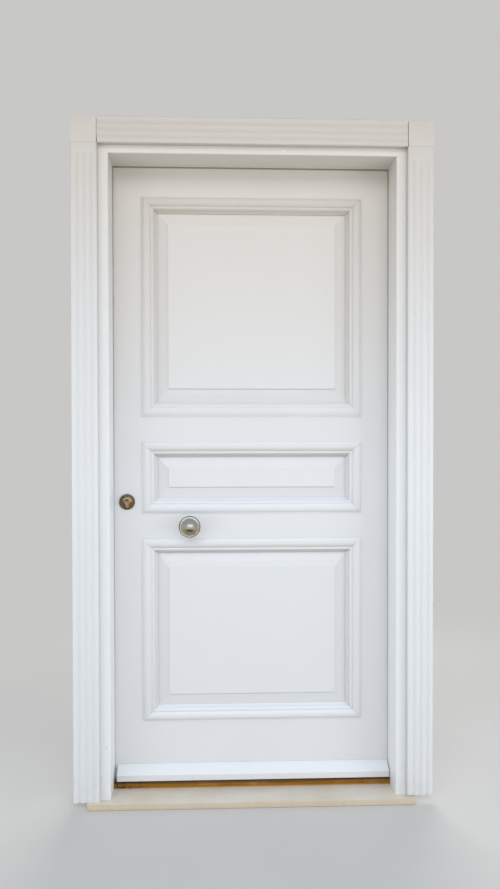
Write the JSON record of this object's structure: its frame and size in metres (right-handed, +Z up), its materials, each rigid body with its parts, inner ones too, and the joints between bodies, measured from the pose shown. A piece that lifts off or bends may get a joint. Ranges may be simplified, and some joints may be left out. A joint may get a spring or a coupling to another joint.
{
  "type": "panelled front door with frame",
  "caption": "Timber front door leaf with raised panels and bolection mouldings, in a rebated frame with reeded casings, corner blocks, threshold bar and stone sill.",
  "frame": {"origin": "on the sill's underside, in the middle of the clear opening, in the plane of the jambs' front faces", "axes": "+X to the right seen from outside, towards the hinges; +Y inwards, through the doorway; +Z up"},
  "size_m": [1.128, 0.229, 2.142],
  "materials": {
    "white_paint": "semi-gloss white paint",
    "varnished_hardwood": "dark brown gloss varnish",
    "marble": "honed cream marble",
    "satin_nickel": "satin nickel",
    "aged_brass": "aged brass",
    "lock_steel": "zinc-plated steel",
    "seal_rubber": "matt black"
  },
  "bodies": {
    "frame": {"sill": "marble", "threshold_bar": "varnished_hardwood", "left_jamb": "white_paint", "right_jamb": "white_paint", "head_jamb": "white_paint", "left_seal": "seal_rubber", "right_seal": "seal_rubber", "head_seal": "seal_rubber", "left_casing": "white_paint", "right_casing": "white_paint", "head_casing": "white_paint", "left_corner_block": "white_paint", "right_corner_block": "white_paint", "strike_plate": "lock_steel", "lower_frame_hinge": "lock_steel", "middle_frame_hinge": "lock_steel", "upper_frame_hinge": "lock_steel", "hinge_pins": "lock_steel", "left_stop": "white_paint", "right_stop": "white_paint", "head_stop": "white_paint", "frame_screws": "lock_steel"},
    "leaf": {"lock_stile": "white_paint", "hinge_stile": "white_paint", "top_rail": "white_paint", "upper_mid_rail": "white_paint", "lower_mid_rail": "white_paint", "bottom_rail": "white_paint", "top_panel": "white_paint", "middle_panel": "white_paint", "bottom_panel": "white_paint", "top_outside_moulding": "white_paint", "middle_outside_moulding": "white_paint", "bottom_outside_moulding": "white_paint", "top_inside_moulding": "white_paint", "middle_inside_moulding": "white_paint", "bottom_inside_moulding": "white_paint", "weather_bar": "white_paint", "bottom_seal": "seal_rubber", "knob": "satin_nickel", "knob_rose": "satin_nickel", "knob_bolt": "satin_nickel", "lock_case": "lock_steel", "lock_cover": "lock_steel", "faceplate": "lock_steel", "cylinder_body": "aged_brass", "cylinder_screw": "lock_steel", "outside_escutcheon": "aged_brass", "inside_escutcheon": "aged_brass", "lever_rose": "satin_nickel", "lower_leaf_hinge": "lock_steel", "middle_leaf_hinge": "lock_steel", "upper_leaf_hinge": "lock_steel", "leaf_screws": "lock_steel"},
    "deadbolt": {"deadbolt": "lock_steel"},
    "latch_bolt": {"latch_bolt": "lock_steel"},
    "key_plug": {"key_plug": "aged_brass"},
    "thumb_turn": {"thumb_turn": "satin_nickel"},
    "lever": {"inside_lever": "satin_nickel", "lock_follower": "lock_steel"}
  },
  "joints": [
    {"name": "leaf_swing", "type": "hinge", "parent": "frame", "child": "leaf", "pos_m": [0.4645, 0.1575, 1.066], "axis": [0, 0, -1], "range_deg": [0, 100]},
    {"name": "thumb_turning", "type": "hinge", "parent": "leaf", "child": "thumb_turn", "pos_m": [-0.408, 0.123, 0.948], "axis": [0, -1, 0], "range_deg": [0, 360]},
    {"name": "key_turning", "type": "hinge", "parent": "leaf", "child": "key_plug", "pos_m": [-0.408, 0.123, 0.948], "axis": [0, -1, 0], "range_deg": [0, 360]},
    {"name": "deadbolt_slide", "type": "slide", "parent": "leaf", "child": "deadbolt", "axis": [-1, 0, 0], "range_m": [0, 0.02]},
    {"name": "latch_slide", "type": "slide", "parent": "leaf", "child": "latch_bolt", "axis": [-1, 0, 0], "range_m": [0, 0.012]},
    {"name": "lever_turning", "type": "hinge", "parent": "leaf", "child": "lever", "pos_m": [-0.408, 0.195, 1.02], "axis": [0, 1, 0], "range_deg": [0, 40], "stiffness_Nm_per_rad": 1.5, "springref_deg": -17.19}
  ],
  "couplings": [
    {"joint": "thumb_turning", "follows": "deadbolt_slide", "rad_per_m": 314.16},
    {"joint": "key_turning", "follows": "deadbolt_slide", "rad_per_m": 314.16}
  ]
}
